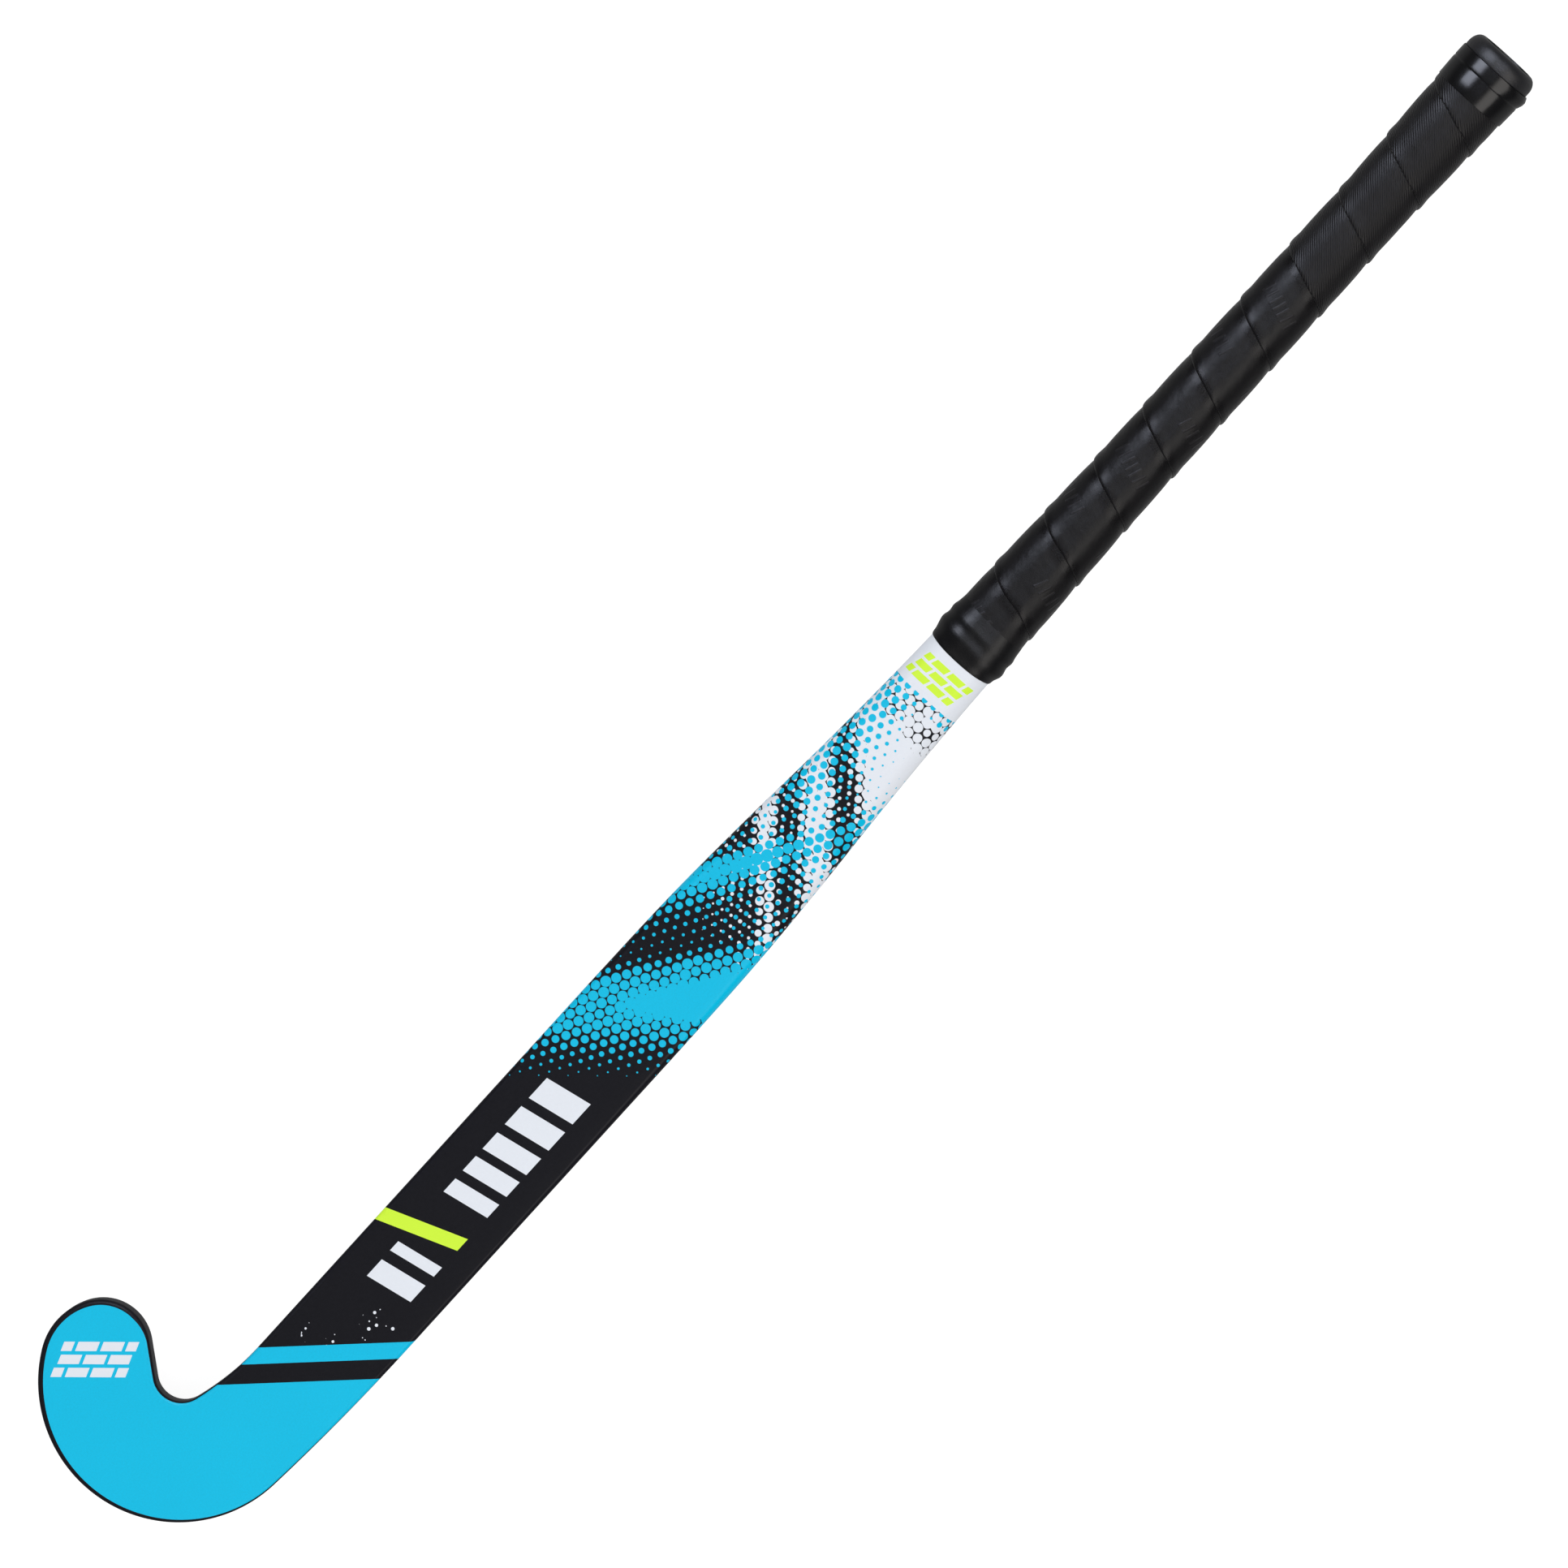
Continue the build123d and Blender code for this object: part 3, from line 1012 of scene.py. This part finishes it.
def head_piece(name, profile_at, material, **settings):
    """A piece with the profile of (inset, depth) that profile_at gives for each outline point."""
    rim = [Vector((x, y, 0.0)) for x, y in head_outline(0.0)]
    inner = [Vector((x, y, 0.0)) for x, y in head_outline(1.0)]
    rings, flat, edge = [], [], []
    for level in zip(*(profile_at(k) for k in range(len(rim)))):
        places = [a + (b - a) * inset for a, b, (inset, _) in zip(rim, inner, level)]
        depths = [depth for _, depth in level]
        rings.append([TO_ROW @ Vector((p.x, p.y, depth)) for p, depth in zip(places, depths)])
        flat.append([p.xy for p in places])
        edge.append([(inside_print(*spot, k), 0.0) for k, spot in enumerate(level)])
    return add_rings(name, rings, {"flat": flat, "edge": edge}, material, **settings)


def head_shell(material):
    """The head's lacquered skin: its face, edges and back."""

    def profile_at(k):
        return head_profile(BACK_EDGE_RADIUS + along(BACK_ROUNDING, k))

    piece = head_piece("head_shell", profile_at, material, flip=True)
    return place(piece, "head_glass_wrap", "glass_laminate")


PRINT_MARGIN = 1.6
PRINT_ROOT = 0.04


def head_face_print(material):
    """Printed film on the flat of the face, a hair proud of the skin."""
    start = FACE_EDGE_RADIUS
    profile = ((start, FACE_LEVEL - PRINT_ROOT), (start, 0.0), (start + PRINT_MARGIN, 0.0))
    piece = head_piece("head_face_print", lambda k: profile, material, sharp=0.0)
    return place(piece, "head_face_decal", "face_print")


def steps(start, end, count):
    return [start + (end - start) * i / count for i in range(count + 1)]


def shaft_print(material):
    """Printed film round the shaft, from the head to under the grip."""
    outside = [(station, 0.0) for station in steps(SHAFT_START, PRINT_END, PRINT_RINGS)]
    inside = [(station, FILM_BACK) for station in steps(PRINT_END, SHAFT_START, PRINT_RINGS // 2)]
    piece = sleeve("shaft_print", outside + inside, material)
    return place(piece, "shaft_print_wrap", "shaft_print")


GRIP_START = 492.5
GRIP_END = 806.2
GRIP_PITCH = 29.0
FIRST_SEAM = 513.1
GRIP_OVERLAP = 2.6
GRIP_SHARP = 65.0
# narrower parts of the strip at its lower and upper ends are left out
SLIVERS = (1.0, 1.5)
HANDLE = 640.0
GRIP_TRAVEL = ring(HANDLE, 0.0)[1]
# the strip's top across one turn: (distance from its head-side edge, height)
GRIP_TOP = (
    (0.0, 1.1),
    (0.1, 1.3),
    (0.3, 1.45),
    (0.7, 1.55),
    (1.4, 1.58),
    (2.5, 1.5),
    (4.2, 1.32),
    (6.0, 1.24),
    (8.5, 1.3),
    (12.0, 1.36),
    (17.0, 1.35),
    (21.0, 1.28),
    (24.0, 1.17),
    (26.5, 1.0),
    (28.2, 0.86),
    (29.0, 0.79),
    (30.2, 0.6),
    (31.6, 0.3),
)
# and its underside, back again
GRIP_UNDER = (
    (31.6, 0.06),
    (28.0, 0.06),
    (20.0, 0.06),
    (12.0, 0.06),
    (4.0, 0.07),
    (3.1, 0.35),
    (1.6, 0.72),
    (0.0, 0.92),
)
# share of its height that the strip keeps under the two finishing tapes
GRIP_SQUEEZE = (
    (492.0, 0.45),
    (509.0, 0.8),
    (521.0, 1.0),
    (783.0, 1.0),
    (791.5, 0.84),
    (807.0, 0.84),
)


def along(table, place):
    """Value of a table of (place, value) pairs, straight between its points."""
    for (p0, v0), (p1, v1) in zip(table, table[1:]):
        if place <= p1:
            return v0 + (v1 - v0) * min(max((place - p0) / (p1 - p0), 0.0), 1.0)
    return table[-1][1]


def grip_wrap(material):
    """The padded strip, wound round the handle with each turn lapping over the last."""
    line, around = ring(HANDLE, 0.0)
    fractions = [gone / around for _, _, gone in line]
    heel_side = fractions[min(range(RING_POINTS), key=lambda i: line[i][0])]
    profile = GRIP_TOP + GRIP_UNDER
    rings, rows = [], []
    first_turn = int((GRIP_START - FIRST_SEAM) / GRIP_PITCH) - 2
    last_turn = int((GRIP_END - FIRST_SEAM) / GRIP_PITCH) + 1
    for turn_number in range(first_turn, last_turn + 1):
        for k, fraction in enumerate(fractions):
            seam = FIRST_SEAM + GRIP_PITCH * (turn_number + fraction - heel_side)
            tail = seam + GRIP_PITCH + GRIP_OVERLAP
            if tail < GRIP_START + SLIVERS[0] or seam > GRIP_END - SLIVERS[1]:
                continue
            travel = (turn_number + fraction) * around
            rows.append([(travel, across) for across, _ in profile])
            rings.append([strip_point(seam + across, height, k) for across, height in profile])
    piece = add_rings("grip_wrap", rings, {"flat": rows}, material, flip=True, sharp=GRIP_SHARP)
    length = math.hypot(rows[-1][0][0] - rows[0][0][0], GRIP_END - GRIP_START) / 1000
    flat = (GRIP_TOP[-1][0] / 1000, length)
    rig.sheet(piece, flat=flat, held="stretched", rests_on=["grip_adhesive"])
    return place(piece, "grip_tape", "grip_pu")


def strip_point(station, height, k):
    """A point of the wound strip, which the two finishing tapes squeeze at its ends."""
    station = min(max(station, GRIP_START), GRIP_END)
    lift = height * along(GRIP_SQUEEZE, station) + along(CAP_SKIRT, station)
    y, z, _ = ring_point(station, lift, k)
    return on_stick(station, y, z)


RING_CACHE = {}


def ring_point(station, offset, k):
    """Point k of the ring at a station, from a cache of rings."""
    key = (round(station, 2), round(offset, 3))
    if key not in RING_CACHE:
        RING_CACHE[key] = ring(*key)[0]
    return RING_CACHE[key][k]


# the ridged tape's outside, from the print over the start of the grip: (station, height)
LOWER_TAPE = (
    (488.2, 0.02),
    (488.2, 0.25),
    (488.6, 0.45),
    (489.8, 0.62),
    (491.2, 0.85),
    (492.6, 1.3),
    (493.8, 1.62),
    (495.0, 1.95),
    (496.2, 2.12),
    (497.2, 2.0),
    (498.4, 1.66),
    (499.8, 1.52),
    (501.0, 1.72),
    (502.2, 1.94),
    (503.2, 1.86),
    (504.6, 1.5),
    (506.4, 1.28),
    (508.6, 1.1),
    (509.5, 0.98),
)
# and its underside, back again
LOWER_TAPE_UNDER = ((509.5, 0.7), (494.0, 0.7), (492.0, 0.5), (491.4, 0.02))
TAPE_LEAN = 0.95
TAPE_FRONT = 1.1
# the front's bow gives way to the slant: from this station, over this length
TAPE_TURNS = (489.0, 6.0)


def slanted(station, y):
    """The tape's ridges slant a little, and its front edge is bowed."""
    across = y / (section_size(station)[0] / 2)
    slant = min(max((station - TAPE_TURNS[0]) / TAPE_TURNS[1], 0.0), 1.0)
    return TAPE_LEAN * across * slant + TAPE_FRONT * across * across * (1.0 - slant)


def lower_tape(material):
    """Ridged tape that closes the grip's lower end."""
    piece = sleeve("lower_tape", LOWER_TAPE + LOWER_TAPE_UNDER, material, slide=slanted)
    return place(piece, "lower_finishing_tape", "ridged_tape")


# the glossy tape's section, once round, with the groove between its two turns: (station, height)
UPPER_TAPE = (
    (791.0, 1.35),
    (791.04, 1.55),
    (791.25, 1.65),
    (796.0, 1.75),
    (799.9, 1.8),
    (800.3, 1.67),
    (800.6, 1.53),
    (800.9, 1.67),
    (801.3, 1.77),
    (803.0, 1.73),
    (804.5, 1.7),
    (806.2, 1.65),
    (806.45, 1.55),
    (806.5, 1.35),
    (806.5, 1.0),
    (791.0, 1.0),
)
LUMP_AT = 804.0
LUMP_LENGTH = 2.2
LUMP_HEIGHT = 0.07
LUMP_BESIDE = -8.0


def tape_lump(station, y):
    """Widening of the tape's heel side where the strip's end lies under it."""
    here = math.exp(-((station - LUMP_AT) / LUMP_LENGTH) ** 2)
    return 1.0 + LUMP_HEIGHT * here if y < LUMP_BESIDE else 1.0


def upper_tape(material):
    """Glossy tape in two turns over the grip's upper end."""
    loop = [(station, height + along(CAP_SKIRT, station)) for station, height in UPPER_TAPE]
    piece = sleeve("upper_tape", loop, material, lump=tape_lump)
    return place(piece, "upper_finishing_tape", "gloss_tape")


CAP_OFFSET = 3.0
# the rounded end's depth along the stick and across it
CAP_EDGE = (5.2, 4.0)
# the recessed end face, from its floor to the rounded edge: (station from the butt, offset)
CAP_RECESS = ((-0.7, -1.75), (-0.66, -1.62), (-0.15, -1.45), (-0.02, -1.25))
# the step from the thick end down to the skirt: (station from the end's start, offset)
CAP_STEP = ((0.4, 3.0), (0.05, 2.8), (0.0, 1.78))
SKIRT_UNDER = -0.13


def cap(material):
    """Rubber cap: a rounded thick end with a recessed face, and a skirt under the grip."""
    loop = [(BUTT + station, offset) for station, offset in CAP_RECESS]
    for i in range(ARC_STEPS + 1):
        angle = 90.0 * i / ARC_STEPS
        station = BUTT + CAP_EDGE[0] * (cosd(angle) - 1.0)
        loop.append((station, CAP_OFFSET + CAP_EDGE[1] * (sind(angle) - 1.0)))
    loop += [(CAP_START + station, offset) for station, offset in CAP_STEP]
    loop += [(station, height - 0.02) for station, height in reversed(CAP_SKIRT[:-1])]
    loop += [(CAP_SKIRT[0][0] - 0.1, SKIRT_UNDER), (CAP_START, SKIRT_UNDER)]
    piece = sleeve("cap", loop, material, closed=False)
    return place(piece, "end_cap", "cap_rubber")


# ---------------------------------------------------------------- surroundings
CAMERA_DISTANCE = 3.5
CAMERA_LEAN = (7.4, -0.74)
PICTURE_TURN = 47.77 + 0.158
PICTURE_WIDTH = 0.63065
TARGET = Vector((-0.00298, -0.01525, 0.02))


def add_camera():
    """Camera straight above, leaning a little towards the butt, with the stick aslant."""
    back = Vector((sind(CAMERA_LEAN[0]), sind(CAMERA_LEAN[1]), 1.0)).normalized()
    upright = Vector((sind(PICTURE_TURN), cosd(PICTURE_TURN), 0.0))
    upright = (upright - back * upright.dot(back)).normalized()
    right = upright.cross(back)
    data = bpy.data.cameras.new("camera")
    data.sensor_width = 36.0
    data.lens = 36.0 * CAMERA_DISTANCE / PICTURE_WIDTH
    data.clip_end = 50.0
    camera = bpy.data.objects.new("camera", data)
    bpy.context.collection.objects.link(camera)
    turned = Matrix((right, upright, back)).transposed().to_4x4()
    camera.matrix_world = Matrix.Translation(TARGET + back * CAMERA_DISTANCE) @ turned
    bpy.context.scene.camera = camera


FLOOR_REACH = 6.0


def add_floor():
    turns = ((-1, -1), (1, -1), (1, 1), (-1, 1))
    corners = [(x * FLOOR_REACH, y * FLOOR_REACH, 0.0) for x, y in turns]
    graph = Graph("floor", Roughness=0.9, Specular_IOR_Level=0.0, Emission_Strength=0.9)
    graph.shader.inputs["Emission Color"].default_value = (1.0, 1.0, 1.0, 1.0)
    graph.paint((0.3, 0.3, 0.3, 1.0))
    floor = add_mesh("floor", corners, [(0, 1, 2, 3)], {"flat": [[(0.0, 0.0)] * 4]}, graph.material)
    floor.visible_glossy = False
    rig.stage(floor)


LIGHT_DISTANCE = 1.5


def add_light(name, lean, size, power, tint, along_x=0.0, glossy=True, diffuse=True):
    """Soft box over the stick, leaning to its toe side by some degrees from upright."""
    data = bpy.data.lights.new(name, "AREA")
    data.shape = "RECTANGLE"
    data.size, data.size_y = size
    data.energy = power
    data.color = tint
    lamp = bpy.data.objects.new(name, data)
    bpy.context.collection.objects.link(lamp)
    lamp.location = Vector((along_x, sind(lean) * LIGHT_DISTANCE, cosd(lean) * LIGHT_DISTANCE))
    lamp.rotation_euler = (math.radians(-lean), 0.0, 0.0)
    lamp.visible_glossy = glossy
    lamp.visible_diffuse = diffuse


def add_world():
    """Dim room over a paler ground."""
    world = bpy.data.worlds.new("studio")
    world.use_nodes = True
    nodes, links = world.node_tree.nodes, world.node_tree.links
    background = nodes["Background"]
    background.inputs["Color"].default_value = (1.0, 1.0, 1.0, 1.0)
    where = nodes.new("ShaderNodeTexCoord")
    parts = nodes.new("ShaderNodeSeparateXYZ")
    shade = nodes.new("ShaderNodeMapRange")
    for key, value in (("From Min", -0.2), ("From Max", 0.2), ("To Min", 0.3), ("To Max", 0.07)):
        shade.inputs[key].default_value = value
    links.new(where.outputs["Generated"], parts.inputs[0])
    links.new(parts.outputs["Z"], shade.inputs["Value"])
    links.new(shade.outputs["Result"], background.inputs["Strength"])
    bpy.context.scene.world = world


add_camera()
add_floor()
add_light("overhead", 18.0, (3.6, 2.4), power=31.0, tint=(0.95, 0.97, 1.0), glossy=False)
add_light("key", 26.5, (2.0, 0.84), power=34.0, tint=(0.8, 0.85, 1.0), along_x=1.05, diffuse=False)
add_light("fill", -29.5, (2.8, 0.86), power=15.0, tint=(1.0, 0.96, 0.92))
add_world()
bpy.context.scene.view_settings.view_transform = "Standard"

head_shell(shell_material())
head_face_print(head_material())
shaft_print(shaft_material())
grip_wrap(grip_material())
lower_tape(rubber("ridged_tape", TAPE_BLACK, rough=0.31, specular=0.36, depth=0.00008))
upper_tape(rubber("gloss_tape", TAPE_BLACK, rough=0.21, specular=0.5, depth=0.00001))
cap(rubber("cap_rubber", CAP_BLACK, rough=0.36, specular=0.5, depth=0.00012))

# the CAD's own pieces inside, which show when the stick is taken apart
inner = {"shaft_glass_sleeve": glass_material(), "grip_adhesive": adhesive_material()}
inner.update(dict.fromkeys([f"core_ply_{i}" for i in range(1, 8)], wood_material()))
for node, material in inner.items():
    frame["nodes"][node].material_slots[0].material = material

NEW_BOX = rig.bounds()
with open("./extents.json", "w") as sizes:
    json.dump({"cad": [list(v) for v in CAD_BOX], "visual": [list(v) for v in NEW_BOX]}, sizes)
